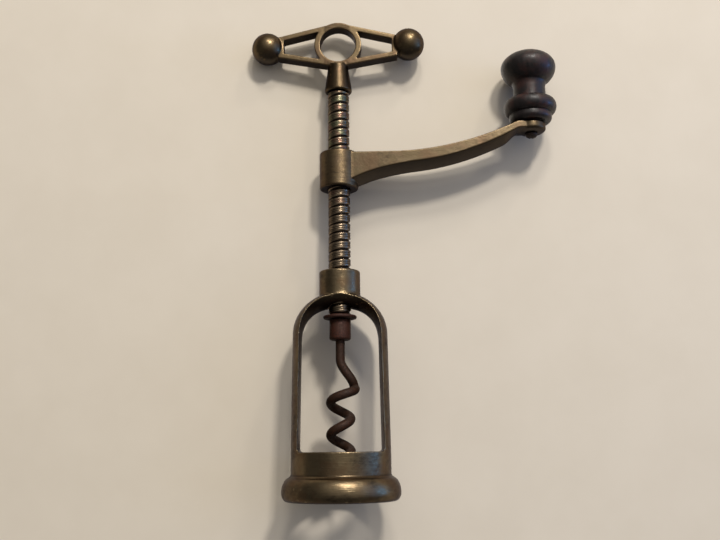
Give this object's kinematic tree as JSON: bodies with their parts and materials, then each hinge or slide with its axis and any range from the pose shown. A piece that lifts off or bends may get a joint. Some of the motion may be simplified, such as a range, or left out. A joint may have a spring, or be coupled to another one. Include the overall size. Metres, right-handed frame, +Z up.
{
  "type": "crank corkscrew",
  "caption": "Upright cage corkscrew with a T handle on a threaded spindle, a hub nut with a crank arm and a turned knob, and a wire worm in an arched frame.",
  "frame": {"origin": "on the plane that the cage stands on, under the middle of the part's box; the spindle's axis is 24 mm to the -X side of it", "axes": "+Z up along the spindle, from the cage's foot to the handle; +X towards the crank's knob; +Y from the front to the back, across the open faces of the cage"},
  "size_m": [0.1118, 0.0404, 0.1725],
  "materials": {
    "cage_brass": "dark aged",
    "crank_brass": "aged, worn on the edges",
    "handle_brass": "aged, polished balls",
    "spindle_steel": "aged, shiny thread lands",
    "washer_iron": "rusty",
    "holder_iron": "rusty",
    "worm_steel": "dark, slightly rusty",
    "knob_wood": "dark, glossy",
    "screw_iron": "dark"
  },
  "bodies": {
    "frame": {"frame_cage": "cage_brass"},
    "crank": {"crank": "crank_brass"},
    "washer": {"stop_washer": "washer_iron"},
    "spindle": {"spindle": "spindle_steel", "handle": "handle_brass", "worm_holder": "holder_iron", "worm": "worm_steel"},
    "knob": {"crank_knob": "knob_wood", "knob_screw": "screw_iron"}
  },
  "joints": [
    {"name": "crank_turn", "type": "hinge", "parent": "frame", "child": "crank", "pos_m": [-0.02396, 0, 0.1], "axis": [0, 0, 1], "continuous": true},
    {"name": "spindle_travel", "type": "slide", "parent": "crank", "child": "washer", "axis": [0, 0, 1], "range_m": [-0.0235, 0.00185]},
    {"name": "handle_turn", "type": "hinge", "parent": "washer", "child": "spindle", "pos_m": [-0.02396, 0, 0.1], "axis": [0, 0, 1], "range_deg": [-2628, 207]},
    {"name": "knob_spin", "type": "hinge", "parent": "crank", "child": "knob", "pos_m": [0.04598, -0.00293, 0.14], "axis": [0, 0, 1], "continuous": true}
  ],
  "couplings": [
    {"joint": "handle_turn", "follows": "spindle_travel", "rad_per_m": 1951.3}
  ]
}
